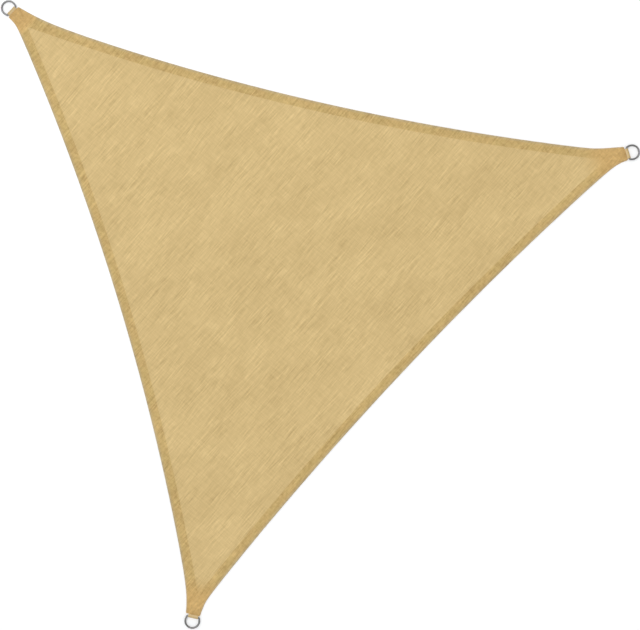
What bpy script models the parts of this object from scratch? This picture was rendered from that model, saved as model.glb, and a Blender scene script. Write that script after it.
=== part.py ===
"""A triangular shade sail, lying flat: knitted cloth with turned hems, and a strap loop and D-ring at each tip.

Metres, +Z up, with the ground at z = 0. Seen from above, +X runs along the straightest side and +Y points
to the corner opposite it, the apex. The sides are named in the order apex, left, right, anticlockwise.
"""

import math
from collections import namedtuple

import bmesh
import bpy
from mathutils import Vector
from mathutils.geometry import delaunay_2d_cdt

for leftover in list(bpy.data.objects):
    bpy.data.objects.remove(leftover, do_unlink=True)

# ---------------------------------------------------------------- driving dimensions

RING_SPACING = 2.440  # from one ring's centre to the next: the sail is equilateral

CLOTH = 0.0012  # one layer of knitted cloth, with its loft
HEM_WIDTH = 0.035
HEM = 0.0024  # the turned hem, two layers
HEM_STEP = 0.001  # the width of the step from the hem down to the cloth
OVERLAP = 0.0040  # both hems, where they cross at a tip

WIRE_RADIUS = 0.00325
BOW_RADIUS = 0.0265  # the round side of the ring, to the middle of the wire
BAR_DEPTH = 0.0164  # from the ring's centre in to its straight bar
BAR_CORNER = 0.0235  # half the bar, to where it would meet the leg
BAR_BEND = 0.00425  # the bend between bar and leg

STRAP_WIDTH = 0.038
STRAP = 0.0016  # the strap's thickness
TIP_DEPTH = 0.024  # from the ring's centre in to the end of the cloth
TAIL_LENGTH = 0.028  # how far the strap's sewn tail runs into the tip

GAP = 0.0003  # between pieces that touch

# each side hangs between two corners; its sag and insets are inward from the line through the ring centres
Side = namedtuple("Side", "start end sag start_inset end_inset")
SIDES = (
    Side("apex", "left", sag=0.0783, start_inset=0.0009, end_inset=0.0032),
    Side("left", "right", sag=0.0563, start_inset=0.0081, end_inset=0.0082),
    Side("right", "apex", sag=0.0771, start_inset=0.0038, end_inset=0.0081),
)

# a tip's two edges, one for the side that arrives there and one for the side that leaves it:
# half the tip's width level with the ring's centre, how much it grows with each metre in,
# how softly it runs into its side, and the radius that rounds its end
TipEdge = namedtuple("TipEdge", "half_width flare softness rounding")
TIPS = {
    ("apex", "arriving"): TipEdge(0.0190, 0.194, 0.0230, 0.006),
    ("apex", "leaving"): TipEdge(0.0244, 0.017, 0.0081, 0.002),
    ("left", "arriving"): TipEdge(0.0228, 0.115, 0.0208, 0.004),
    ("left", "leaving"): TipEdge(0.0204, 0.096, 0.0099, 0.002),
    ("right", "arriving"): TipEdge(0.0202, 0.000, 0.0176, 0.002),
    ("right", "leaving"): TipEdge(0.0227, 0.224, 0.0057, 0.004),
}
CORNER_ANGLES = {"apex": 90, "left": 210, "right": 330}  # from the sail's middle, in degrees

# ---------------------------------------------------------------- sizes that follow

CORNER_REACH = RING_SPACING / math.sqrt(3)  # from the sail's middle to a ring's centre
SAIL_MIDDLE = Vector((0, -CORNER_REACH / 4))  # puts the origin halfway up the triangle
ROLL_INNER = WIRE_RADIUS + GAP  # the strap's roll round the bar
ROLL_OUTER = ROLL_INNER + STRAP
BAR_HEIGHT = ROLL_OUTER  # the roll rests on the ground
TAIL_END = TIP_DEPTH + TAIL_LENGTH
TAIL_LOW = CLOTH + GAP  # the tail lies between the tip's layers
TAIL_HIGH = TAIL_LOW + 2 * STRAP
TIP = TAIL_HIGH + GAP + CLOTH  # the tip's full thickness, over the tail
POCKET_HALF = STRAP_WIDTH / 2 + GAP
POCKET_START = TIP_DEPTH - 0.004  # the cutter starts clear of the cloth
LUMP_HALF = POCKET_HALF + 0.0008  # the raised top over the tail
LUMP_END = TAIL_END + 0.002
LUMP_FOOT = LUMP_END + 0.007
OVERLAP_END = 0.100  # where the crossed hems have parted again

SIDE_STEPS = 52
HEM_STEPS = 44
GRID = 0.160  # spacing of the points inside the cloth
EDGE_CROWDING = 0.9  # 0 spaces the points of a side evenly, 1 crowds them at its ends
WIRE_FACETS = 12
BOW_STEPS = 25  # odd, so that the crown of the ring is a flat facet
BEND_STEPS = 4
ROLL_STEPS = 16
ROUNDING_STEPS = 3
HALVINGS = 50
SHARP_ANGLE = math.radians(35)


# ---------------------------------------------------------------- outline


def corner_frame(name):
    """A corner's ring centre, the way in to the sail's middle, and the way across to the arriving side."""
    angle = math.radians(CORNER_ANGLES[name])
    inward = -Vector((math.cos(angle), math.sin(angle)))
    return SAIL_MIDDLE - inward * CORNER_REACH, inward, Vector((-inward.y, inward.x))


def side_point(side, along, inset=0.0):
    """A point of a side's curve, this far along the line between its ring centres, moved in by an inset."""
    start, end = corner_frame(side.start)[0], corner_frame(side.end)[0]
    line = (end - start).normalized()
    inward = Vector((-line.y, line.x))
    share = along / RING_SPACING
    depth = side.start_inset * (1 - share) + side.end_inset * share + 4 * side.sag * share * (1 - share)
    slope = (side.end_inset - side.start_inset + 4 * side.sag * (1 - 2 * share)) / RING_SPACING
    normal = (inward - line * slope).normalized()
    return start + line * along + inward * depth + normal * inset


def softer_max(a, b, softness):
    """The larger of two lengths, with a rounded change from one to the other."""
    return (a + b + math.hypot(a - b, softness)) / 2


def outline_point(side, along):
    """A point of the cloth's edge: the side's curve, widened at both ends into the tips."""
    point = side_point(side, along)
    moves = []
    for corner, role, sign in ((side.start, "leaving", -1), (side.end, "arriving", 1)):
        centre, inward, across = corner_frame(corner)
        depth, half = (point - centre) @ inward, (point - centre) @ across * sign
        edge = TIPS[corner, role]
        wide = softer_max(half, edge.half_width + edge.flare * depth, edge.softness)
        moves.append(across * sign * (wide - half))
    return point + moves[0] + moves[1]


def along_at_depth(side, corner, depth, inset=0.0):
    """How far along a side its curve lies this deep inside a corner, by halving."""
    centre, inward, _ = corner_frame(corner)
    near, far = (0.0, RING_SPACING / 2) if corner == side.start else (RING_SPACING, RING_SPACING / 2)
    for _ in range(HALVINGS):
        middle = (near + far) / 2
        if (side_point(side, middle, inset) - centre) @ inward < depth:
            near = middle
        else:
            far = middle
    return near


def mitre_depth(corner, inset):
    """How deep into a corner the two sides' hem lines meet, by halving."""
    arriving = next(side for side in SIDES if side.end == corner)
    leaving = next(side for side in SIDES if side.start == corner)
    across = corner_frame(corner)[2]
    near, far = 0.0, RING_SPACING / 4
    for _ in range(HALVINGS):
        middle = (near + far) / 2
        one = side_point(arriving, along_at_depth(arriving, corner, middle, inset), inset)
        other = side_point(leaving, along_at_depth(leaving, corner, middle, inset), inset)
        if (one - other) @ across < 0:
            near = middle
        else:
            far = middle
    return near


def crowded(start, end, steps):
    """Numbers from start to end, closer together at both ends."""
    shares = [i / steps for i in range(steps + 1)]
    eased = [share - EDGE_CROWDING * math.sin(2 * math.pi * share) / (2 * math.pi) for share in shares]
    return [start + (end - start) * share for share in eased]


def corner_point(corner, depth, across):
    """A point given by its depth into a corner and its distance across it."""
    centre, inward, sideways = corner_frame(corner)
    return centre + inward * depth + sideways * across


# ---------------------------------------------------------------- cloth


class Plan:
    """Points of the cloth's top, seen from above, each with its height, and the lines that faces keep to."""

    def __init__(self):
        self.points, self.heights, self.lines = [], [], []

    def add(self, point, height):
        self.points.append(point)
        self.heights.append(height)
        return len(self.points) - 1

    def join(self, numbers, closed=False):
        self.lines += list(zip(numbers, numbers[1:]))
        if closed:
            self.lines.append((numbers[-1], numbers[0]))


def edge_height(point):
    """The cloth's thickness at its edge: the hem, and both hems where they cross at a tip."""
    depth = min((point - corner_frame(name)[0]) @ corner_frame(name)[1] for name in CORNER_ANGLES)
    share = min(max((depth - LUMP_FOOT) / (OVERLAP_END - LUMP_FOOT), 0), 1)
    return OVERLAP + (HEM - OVERLAP) * share


def rounded_end(corner, role, sign, start):
    """The rounded corner of a tip, from a point on its side to the cloth's end."""
    radius = TIPS[corner, role].rounding
    half = (start - corner_frame(corner)[0]) @ corner_frame(corner)[2] * sign
    points = []
    for i in range(1, ROUNDING_STEPS + 1):
        turn = math.pi / 2 * i / ROUNDING_STEPS
        depth, trimmed = TIP_DEPTH + radius * (1 - math.sin(turn)), radius * (1 - math.cos(turn))
        points.append(corner_point(corner, depth, sign * (half - trimmed)))
    return points


def side_outline(side):
    """The cloth's edge along one side, from the end of one tip to the end of the next."""
    first = along_at_depth(side, side.start, TIP_DEPTH + TIPS[side.start, "leaving"].rounding)
    last = along_at_depth(side, side.end, TIP_DEPTH + TIPS[side.end, "arriving"].rounding)
    points = [outline_point(side, along) for along in crowded(first, last, SIDE_STEPS)]
    before = rounded_end(side.start, "leaving", -1, points[0])
    return before[::-1] + points + rounded_end(side.end, "arriving", 1, points[-1])


def lay_outline(plan):
    """The cloth's edge, and at each tip the raised top over the strap's tail, which ends on that edge."""
    outline = []
    for side in SIDES:
        outline += [plan.add(point, edge_height(point)) for point in side_outline(side)]
        lump, foot = [], []
        for sign, depths in ((1, (TIP_DEPTH, LUMP_END)), (-1, (LUMP_END, TIP_DEPTH))):
            across = sign * LUMP_HALF
            lump += [plan.add(corner_point(side.end, depth, across), TIP) for depth in depths]
            foot.append(plan.add(corner_point(side.end, LUMP_FOOT, across), OVERLAP))
        plan.join(lump)
        plan.join(foot)
        outline += [lump[0], lump[-1]]
    plan.join(outline, closed=True)
    return outline


def lay_hem_line(plan, inset, height):
    """A line round the cloth at this distance in from its sides, mitred at the tips."""
    line = []
    for side in SIDES:
        first = along_at_depth(side, side.start, mitre_depth(side.start, inset), inset)
        last = along_at_depth(side, side.end, mitre_depth(side.end, inset), inset)
        alongs = crowded(first, last, HEM_STEPS)[:-1]  # the next side starts at the shared mitre
        line += [plan.add(side_point(side, along, inset), height) for along in alongs]
    plan.join(line, closed=True)


def distance_in(point, side):
    """How far inside a side's curve a point lies."""
    start, end = corner_frame(side.start)[0], corner_frame(side.end)[0]
    line = (end - start).normalized()
    along = (point - start) @ line
    return (point - side_point(side, along)) @ Vector((-line.y, line.x))


def lay_middle(plan):
    """A triangular grid of points over the single layer of cloth."""
    margin = HEM_WIDTH + GRID / 2
    rows = math.ceil(CORNER_REACH / (GRID * math.sqrt(3) / 2))
    for row in range(-rows, rows + 1):
        for place in range(-rows, rows + 1):
            point = SAIL_MIDDLE + Vector(((place + row % 2 / 2) * GRID, row * GRID * math.sqrt(3) / 2))
            if all(distance_in(point, side) > margin for side in SIDES):
                plan.add(point, CLOTH)


def cloth_mesh():
    """The cloth as one closed solid: a flat underside, and a top that steps up at the hems and the tips."""
    plan = Plan()
    outline = lay_outline(plan)
    lay_hem_line(plan, HEM_WIDTH, HEM)
    lay_hem_line(plan, HEM_WIDTH + HEM_STEP, CLOTH)
    lay_middle(plan)
    inside_only, merge_distance = 1, 1e-7
    points, _, faces, origins, _, _ = delaunay_2d_cdt(
        plan.points, plan.lines, [outline], inside_only, merge_distance
    )
    shape = bmesh.new()
    top = [shape.verts.new((*point, plan.heights[origin[0]])) for point, origin in zip(points, origins)]
    ground = [shape.verts.new((*point, 0)) for point in points]
    for face in faces:
        shape.faces.new([top[i] for i in face])
        shape.faces.new([ground[i] for i in reversed(face)])
    number = {origin[0]: i for i, origin in enumerate(origins)}
    edge = [number[i] for i in outline]
    for here, there in zip(edge, edge[1:] + edge[:1]):
        shape.faces.new((ground[here], ground[there], top[there], top[here]))
    bmesh.ops.recalc_face_normals(shape, faces=shape.faces)
    return finished_mesh(shape, "sail_cloth")


# ---------------------------------------------------------------- webbing and rings


def roll_outline(radius, upper, lower):
    """Points round the bar and out along the tangents to two points: upper leg, roll, lower leg."""
    centre = Vector((BAR_DEPTH, BAR_HEIGHT))
    angles = []
    for target, sign in ((upper, 1), (lower, -1)):
        reach = target - centre
        angles.append(math.atan2(reach.y, reach.x) + sign * math.acos(radius / reach.length))
    first, last = angles[0], angles[1] + 2 * math.pi
    turn = [first + (last - first) * i / ROLL_STEPS for i in range(ROLL_STEPS + 1)]
    roll = [centre + radius * Vector((math.cos(angle), math.sin(angle))) for angle in turn]
    return [upper, *roll, lower]


def strap_mesh():
    """A strap folded round the bar, its ends sewn into one flat tail. Depth in runs along X, across is Y."""
    seam = Vector((TIP_DEPTH, (TAIL_LOW + TAIL_HIGH) / 2))
    outer = roll_outline(ROLL_OUTER, Vector((TIP_DEPTH, TAIL_HIGH)), Vector((TIP_DEPTH, TAIL_LOW)))
    inner = roll_outline(ROLL_INNER, seam, seam)[:-1]  # its last point is its first, where the two legs part
    tail = [Vector((TAIL_END - GAP, TAIL_LOW)), Vector((TAIL_END - GAP, TAIL_HIGH))]
    shape = bmesh.new()
    rims = []
    for y in (-STRAP_WIDTH / 2, STRAP_WIDTH / 2):
        rims.append([[shape.verts.new((p.x, y, p.y)) for p in points] for points in (outer, inner, tail)])
    for rim_outer, rim_inner, rim_tail in rims:
        ring = rim_inner + rim_inner[:1]
        for i in range(len(rim_outer) - 1):
            shape.faces.new((rim_outer[i], rim_outer[i + 1], ring[i + 1], ring[i]))
        shape.faces.new((rim_outer[-1], *rim_tail, rim_outer[0], rim_inner[0]))
    for near, far in ((rims[0][0] + rims[0][2], rims[1][0] + rims[1][2]), (rims[0][1], rims[1][1])):
        for i in range(len(near)):
            j = (i + 1) % len(near)
            shape.faces.new((near[i], near[j], far[j], far[i]))
    bmesh.ops.recalc_face_normals(shape, faces=shape.faces)
    return finished_mesh(shape, "webbing_loop")


def arc(centre, radius, start, end, steps):
    """Points on an arc, both ends included; angles in radians."""
    turn = [start + (end - start) * i / steps for i in range(steps + 1)]
    return [centre + radius * Vector((math.cos(angle), math.sin(angle))) for angle in turn]


def ring_path():
    """The middle of the ring's wire, the bar at x = 0 and the bow at -X: bow, leg, bend, bar, bend, leg."""
    bow_centre = Vector((-BAR_DEPTH, 0))
    to_corner = Vector((0, BAR_CORNER)) - bow_centre
    # a leg leaves the bow along the tangent that runs to the bar's corner
    leave = math.atan2(to_corner.y, to_corner.x) + math.acos(BOW_RADIUS / to_corner.length)
    path = arc(bow_centre, BOW_RADIUS, leave, 2 * math.pi - leave, BOW_STEPS)
    # between leg and bar the wire turns through that same angle
    bend_side = BAR_CORNER - BAR_BEND * math.tan(leave / 2)
    path += arc(Vector((-BAR_BEND, -bend_side)), BAR_BEND, -leave, 0, BEND_STEPS)
    path += arc(Vector((-BAR_BEND, bend_side)), BAR_BEND, 0, leave, BEND_STEPS)
    return path


def ring_mesh():
    """Round wire bent to the ring's path, its joints mitred, with flat facets facing in and up."""
    path = ring_path()
    shape = bmesh.new()
    rounds = []
    for i, point in enumerate(path):
        arrive = (point - path[i - 1]).normalized()
        leave = (path[(i + 1) % len(path)] - point).normalized()
        along = (arrive + leave).normalized()
        aside = Vector((along.y, -along.x)) / (along @ arrive)
        loop = []
        for facet in range(WIRE_FACETS):
            angle = 2 * math.pi * (facet + 0.5) / WIRE_FACETS
            place = point + aside * (WIRE_RADIUS * math.cos(angle))
            loop.append(shape.verts.new((place.x, place.y, WIRE_RADIUS * math.sin(angle))))
        rounds.append(loop)
    for near, far in zip(rounds, rounds[1:] + rounds[:1]):
        for i in range(WIRE_FACETS):
            j = (i + 1) % WIRE_FACETS
            shape.faces.new((near[i], near[j], far[j], far[i]))
    bmesh.ops.recalc_face_normals(shape, faces=shape.faces)
    return finished_mesh(shape, "d_ring")


def ring_tilt():
    """How far the ring drops from its bar until the crown of its bow rests on the ground, in radians."""
    crown = -min(point.x for point in ring_path())
    reach = crown + WIRE_RADIUS * math.sin(math.pi / WIRE_FACETS)  # the outer edge of the facet below
    under = WIRE_RADIUS * math.cos(math.pi / WIRE_FACETS)
    return math.asin(BAR_HEIGHT / math.hypot(reach, under)) - math.atan2(under, reach)


# ---------------------------------------------------------------- objects


def finished_mesh(shape, name):
    mesh = bpy.data.meshes.new(name)
    shape.to_mesh(mesh)
    shape.free()
    mesh.shade_smooth()
    mesh.set_sharp_from_angle(angle=SHARP_ANGLE)
    return mesh


def finish(name, colour, roughness, metallic=0.0):
    """A material with one colour, in linear light."""
    material = bpy.data.materials.new(name)
    material.use_nodes = True
    shader = material.node_tree.nodes["Principled BSDF"]
    shader.inputs["Base Color"].default_value = (*colour, 1)
    shader.inputs["Roughness"].default_value = roughness
    shader.inputs["Metallic"].default_value = metallic
    return material


def place(name, mesh, material, parent, location=(0, 0, 0), rotation=(0, 0, 0)):
    piece = bpy.data.objects.new(name, mesh)
    bpy.context.scene.collection.objects.link(piece)
    piece.parent = parent
    piece.location = location
    piece.rotation_euler = rotation
    if material:
        piece.material_slots[0].link = "OBJECT"
        piece.material_slots[0].material = material
    return piece


def pocket_mesh():
    """The space between a tip's layers that the strap's tail fills."""
    shape = bmesh.new()
    bmesh.ops.create_cube(shape, size=1)
    for vert in shape.verts:
        vert.co.x = POCKET_START if vert.co.x < 0 else TAIL_END
        vert.co.y *= 2 * POCKET_HALF
        vert.co.z = TAIL_LOW - GAP if vert.co.z < 0 else TAIL_HIGH + GAP
    mesh = bpy.data.meshes.new("pocket")
    shape.to_mesh(mesh)
    shape.free()
    return mesh


sail = place("shade_sail", None, None, None)
knit, webbing, steel = cloth_mesh(), strap_mesh(), ring_mesh()
for mesh in (knit, webbing, steel):
    mesh.materials.append(None)
sand = finish("knitted_cloth", (0.66, 0.50, 0.22), 0.85)
cream = finish("cream_webbing", (0.72, 0.62, 0.40), 0.75)
bright = finish("ring_steel", (0.46, 0.46, 0.46), 0.28, metallic=1.0)
cloth = place("sail_cloth", knit, sand, sail)
pocket = pocket_mesh()

for corner in CORNER_ANGLES:
    centre, inward, _ = corner_frame(corner)
    turned = (0, 0, math.atan2(inward.y, inward.x))
    frame = place(f"corner_{corner}", None, None, sail, (*centre, 0), turned)
    place(f"webbing_loop_{corner}", webbing, cream, frame)
    place(f"d_ring_{corner}", steel, bright, frame, (BAR_DEPTH, 0, BAR_HEIGHT), (0, -ring_tilt(), 0))
    cutter = place(f"pocket_{corner}", pocket, None, frame)
    cutter.hide_render = True
    cutter.display_type = "WIRE"
    cut = cloth.modifiers.new(f"pocket_{corner}", "BOOLEAN")
    cut.object = cutter
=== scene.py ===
# %% [markdown]
# # A triangular shade sail
#
# The real thing is one panel of knitted plastic cloth. Its three sides are cut hollow, so that they pull
# tight when the sail hangs by its corners, and each side is turned under into a hem and sewn down. At each
# corner a short strap goes round the straight bar of a steel D-ring, and both ends of the strap are sewn
# between the layers of the cloth's narrow tip.
#
# We build it the same way: the panel with its hems, the seams, the rings and the straps, and last the
# light. Everything is in metres. The sail lies flat on the ground at z = 0, +X runs along its straightest
# side and +Y points to the corner opposite, the apex.

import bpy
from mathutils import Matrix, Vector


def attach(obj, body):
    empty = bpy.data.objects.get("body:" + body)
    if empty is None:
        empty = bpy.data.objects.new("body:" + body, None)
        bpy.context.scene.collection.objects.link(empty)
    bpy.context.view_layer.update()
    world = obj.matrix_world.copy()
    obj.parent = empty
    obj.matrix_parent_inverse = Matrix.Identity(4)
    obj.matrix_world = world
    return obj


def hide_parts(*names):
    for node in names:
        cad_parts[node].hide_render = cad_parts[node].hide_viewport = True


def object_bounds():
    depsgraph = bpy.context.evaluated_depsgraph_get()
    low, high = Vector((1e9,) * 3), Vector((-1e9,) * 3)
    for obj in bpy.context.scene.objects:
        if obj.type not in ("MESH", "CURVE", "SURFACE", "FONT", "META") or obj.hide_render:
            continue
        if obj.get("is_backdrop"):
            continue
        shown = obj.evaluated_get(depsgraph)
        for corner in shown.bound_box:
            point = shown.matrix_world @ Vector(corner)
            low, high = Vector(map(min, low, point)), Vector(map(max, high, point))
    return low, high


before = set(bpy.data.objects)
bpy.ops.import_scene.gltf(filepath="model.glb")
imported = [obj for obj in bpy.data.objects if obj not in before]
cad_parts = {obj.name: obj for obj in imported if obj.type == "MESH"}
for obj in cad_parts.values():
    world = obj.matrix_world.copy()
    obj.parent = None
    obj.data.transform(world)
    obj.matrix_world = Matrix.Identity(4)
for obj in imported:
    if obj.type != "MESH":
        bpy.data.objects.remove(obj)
cad_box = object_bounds()
print("nodes in the frame:", ", ".join(sorted(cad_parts)))

# %% [markdown]
# ## Camera
#
# The sail is seen face on, so the camera hangs above it and mostly its turn and height matter. A long lens
# keeps the rings from leaning outward. A pixel of the picture is 3.8 mm on the ground, and the sail's +X
# runs up to the right at almost 47 degrees. The camera stands a hand's breadth towards the base side and
# leans back by a degree, which shows that side a touch longer.

# %% The camera hangs above the sail
import math

import bpy
import numpy as np
from mathutils import Matrix, Vector, kdtree, noise
from mathutils.geometry import delaunay_2d_cdt

PICTURE_WIDTH = 640  # pixels
PIXEL = 0.003804  # on the ground
PICTURE_TURN = math.radians(46.82)
PICTURE_LEAN = math.radians(1.16)
PICTURE_MIDDLE = (-0.0412, -0.6154)
LENS, SENSOR = 85, 36  # millimetres


def put(data):
    """Puts a mesh, a light or a camera in the scene."""
    holder = bpy.data.objects.new(data.name, data)
    bpy.context.scene.collection.objects.link(holder)
    return holder


camera_data = bpy.data.cameras.new("camera")
camera_data.lens, camera_data.sensor_width = LENS, SENSOR
camera = put(camera_data)
away = Matrix.Translation((0, 0, PICTURE_WIDTH * PIXEL * LENS / SENSOR))
lean, turn = Matrix.Rotation(PICTURE_LEAN, 4, "X"), Matrix.Rotation(-PICTURE_TURN, 4, "Z")
camera.matrix_world = Matrix.Translation((*PICTURE_MIDDLE, 0)) @ lean @ turn @ away
bpy.context.scene.camera = camera
print(f"camera {camera.location.z:.2f} m above the ground")

# %% [markdown]
# ## The sail's outline
#
# A sailmaker draws each side as a shallow curve between two corners, and the three curves almost meet at
# the ring centres. The tips are wider than that, to hold the straps. So a side here is a parabola from
# ring to ring, pushed outward near both ends until it is as wide as the tip. The three sides differ a
# little, as on a real sail.

# %% Corners
RING_SPACING = 2.440  # from one ring's centre to the next


def leftward(ways):
    """The same ways, a quarter turn to the left."""
    return np.stack((-ways[..., 1], ways[..., 0]), axis=-1)


class Corner:
    """A corner's ring centre, the way in to the sail's middle, and the way across to the arriving side."""

    def __init__(self, degrees):
        angle, reach = math.radians(degrees), RING_SPACING / math.sqrt(3)
        self.inward = -np.array((math.cos(angle), math.sin(angle)))
        self.across = leftward(self.inward)
        # y = 0 is halfway up the sail, a quarter of the reach above the rings' middle
        self.centre = (0, -reach / 4) - self.inward * reach

    def point(self, depth, across):
        return self.centre + np.multiply.outer(depth, self.inward) + np.multiply.outer(across, self.across)

    def place(self, points):
        """Depth and distance across of points in this corner."""
        return (points - self.centre) @ self.inward, (points - self.centre) @ self.across

    def matrix(self):
        """Turns and moves a piece that is built with depth along +X and its ring's centre at the origin."""
        turn = Matrix.Rotation(math.atan2(self.inward[1], self.inward[0]), 4, "Z")
        return Matrix.Translation((*self.centre, 0)) @ turn


CORNERS = {"apex": Corner(90), "left": Corner(210), "right": Corner(330)}
print("ring centres:", ", ".join(f"{name} {corner.centre.round(3)}" for name, corner in CORNERS.items()))

# %% Sides
ARRIVING, LEAVING = 0, 1
TIP_WIDTHS = {  # half width level with the ring's centre, growth with depth, softness, rounding of the end
    "apex": ((0.0190, 0.194, 0.0230, 0.006), (0.0244, 0.017, 0.0081, 0.002)),
    "left": ((0.0228, 0.115, 0.0208, 0.004), (0.0204, 0.096, 0.0099, 0.002)),
    "right": ((0.0202, 0.000, 0.0176, 0.002), (0.0227, 0.224, 0.0057, 0.004)),
}
SEARCH_POINTS = 2000  # along a quarter of a side


def unit(vectors):
    """The same directions, each vector one metre long."""
    return vectors / np.linalg.norm(vectors, axis=-1, keepdims=True)


class Side:
    """One hollow side between two corners. Its sag and insets are inward from the line through the rings."""

    def __init__(self, start, end, sag, start_inset, end_inset):
        self.start, self.end, self.sag, self.insets = start, end, sag, (start_inset, end_inset)
        self.origin = CORNERS[start].centre
        self.line = (CORNERS[end].centre - self.origin) / RING_SPACING
        self.inward = leftward(self.line)

    def hollow(self, along):
        """How deep the curve is, and the unit vector that points in from it."""
        share = along / RING_SPACING
        first, last = self.insets
        depth = first * (1 - share) + last * share + 4 * self.sag * share * (1 - share)
        slope = (last - first + 4 * self.sag * (1 - 2 * share)) / RING_SPACING
        normal = self.inward - np.multiply.outer(slope, self.line)
        return depth, unit(normal)

    def curve(self, along, inset=0.0):
        depth, normal = self.hollow(along)
        straight = self.origin + np.multiply.outer(along, self.line)
        return straight + np.multiply.outer(depth, self.inward) + inset * normal

    def measure(self, points):
        """How far points lie in from the curve, how far along it, and the way in there."""
        offset = points - self.origin
        along = offset @ self.line
        depth, normal = self.hollow(along)
        return (offset @ self.inward - depth) * (normal @ self.inward), along, normal

    def outline(self, along):
        """The cloth's edge: the curve, widened at both ends into the tips."""
        points = self.curve(along)
        moves = np.zeros_like(points)
        for name, role, sign in ((self.start, LEAVING, -1), (self.end, ARRIVING, 1)):
            half_width, growth, softness, _ = TIP_WIDTHS[name][role]
            depth, across = CORNERS[name].place(points)
            tip = half_width + growth * depth
            wide = (across * sign + tip + np.hypot(across * sign - tip, softness)) / 2
            moves += np.multiply.outer((wide - across * sign) * sign, CORNERS[name].across)
        return points + moves

    def along_at_depth(self, name, depth):
        """How far along the curve is when it is this deep inside a corner."""
        alongs = np.linspace(0, RING_SPACING / 4, SEARCH_POINTS)
        if name == self.end:
            alongs = RING_SPACING - alongs
        return np.interp(depth, CORNERS[name].place(self.curve(alongs))[0], alongs)


SIDES = (
    Side("apex", "left", sag=0.0783, start_inset=0.0009, end_inset=0.0032),
    Side("left", "right", sag=0.0563, start_inset=0.0081, end_inset=0.0082),
    Side("right", "apex", sag=0.0771, start_inset=0.0038, end_inset=0.0081),
)
print("hollow of the sides:", ", ".join(f"{side.sag * 1000:.0f} mm" for side in SIDES))

# %% The whole edge as one closed line
TIP_DEPTH = 0.024  # from a ring's centre in to the end of the cloth
SIDE_STEP = 0.0048  # between points along the sides
END_STEP = 0.0025  # and across the ends of the tips
ROUNDING_STEPS = 7


def side_line(side):
    """The edge along one side, and the rounded corners of the tips at its two ends."""
    roundings = TIP_WIDTHS[side.start][LEAVING][3], TIP_WIDTHS[side.end][ARRIVING][3]
    first = side.along_at_depth(side.start, TIP_DEPTH + roundings[0])
    last = side.along_at_depth(side.end, TIP_DEPTH + roundings[1])
    points = side.outline(np.linspace(first, last, round((last - first) / SIDE_STEP)))
    turn = np.linspace(0, math.pi / 2, ROUNDING_STEPS)[1:]
    ends = []
    for name, radius, edge in zip((side.start, side.end), roundings, (points[0], points[-1])):
        across = CORNERS[name].place(edge)[1]
        trimmed = across - np.sign(across) * radius * (1 - np.cos(turn))
        ends.append(CORNERS[name].point(TIP_DEPTH + radius * (1 - np.sin(turn)), trimmed))
    return np.concatenate((ends[0][::-1], points, ends[1]))


def whole_edge():
    """The edge of all three sides and of the tips' ends, anticlockwise."""
    parts = [side_line(side) for side in SIDES]
    pieces = []
    for part, after in zip(parts, parts[1:] + parts[:1]):
        steps = round(np.linalg.norm(after[0] - part[-1]) / END_STEP)
        shares = np.linspace(0, 1, steps + 1)[1:-1, None]
        pieces += [part, part[-1] * (1 - shares) + after[0] * shares]
    return np.concatenate(pieces)


def ways_in(loop):
    """The unit vector that points in from each point of a closed anticlockwise line."""
    ahead = unit(np.roll(loop, -1, 0) - loop)
    return leftward(unit(ahead + np.roll(ahead, 1, 0)))


edge = whole_edge()
edge_in = ways_in(edge)
lengths = np.linalg.norm(np.roll(edge, -1, 0) - edge, axis=1)
print(f"edge: {len(edge)} points, {lengths.sum():.2f} m round")

# %% [markdown]
# ## How thick the cloth is, and how it lies
#
# The panel's height follows from where a point is: one layer in the middle, two under a hem, more where
# two hems cross, and a lump where the strap's tail lies inside a tip. So we can lay the mesh out flat and
# lift it afterwards. The folded edge is round, each seam pulls the cloth down a little, and taut cloth on
# the ground still keeps low waves, soft lines that run in from the corners, and small puckers where the
# seams have gathered it. The hems are turned under, so from above the cloth climbs onto them in a soft
# ramp, and their crisp turned edges are on the underside.

# %% Distance to the edge
SAMPLES_PER_STEP = 9


class EdgeDistance:
    """Signed distance in from the cloth's edge, by the nearest of many samples of it."""

    def __init__(self, loop):
        shares = np.arange(SAMPLES_PER_STEP)[:, None] / SAMPLES_PER_STEP
        self.samples, self.ways = (
            (here[:, None] * (1 - shares) + np.roll(here, -1, 0)[:, None] * shares).reshape(-1, 2)
            for here in (loop, ways_in(loop))
        )
        self.tree = kdtree.KDTree(len(self.samples))
        for i, point in enumerate(self.samples):
            self.tree.insert((*point, 0), i)
        self.tree.balance()

    def __call__(self, points):
        nearest = np.array([self.tree.find((*point, 0))[1] for point in points])
        return ((points - self.samples[nearest]) * self.ways[nearest]).sum(1)


from_edge = EdgeDistance(edge)
print(f"{len(from_edge.samples)} samples of the edge")

# %% Thickness
CLOTH = 0.0012  # one layer, with its loft
HEM_LAYER = 0.0012
CROSSED = 0.0004  # what two crossed hems add to their layers
OVER_TAIL = 0.0052  # one layer each side of the strap's tail, and the tail
PRESSED = 0.4  # over the tail the hems are pressed to this much of their thickness
FOLD_RADIUS = 0.0013  # of the folded edge
HEM_WIDTH = 0.035

# how much of the turned layer is left this far in from the side: a sewn-down edge, not a knife cut
HEM_EDGE = ((0.0330, 1.0), (0.0340, 0.95), (0.0346, 0.78), (0.0350, 0.45), (0.0352, 0.0))
COVERED_EDGE = ((0.0320, 1.0), (0.0340, 0.8), (0.0352, 0.3), (0.0370, 0.0))  # under the next side's hem
LUMP_SIDE = ((0.0196, 1.0), (0.0205, 0.75), (0.0216, 0.2), (0.0223, 0.0))  # across the tip
LUMP_END = ((0.0526, 1.0), (0.0548, 0.7), (0.0582, 0.15), (0.0615, 0.0))  # into the tip

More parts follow.
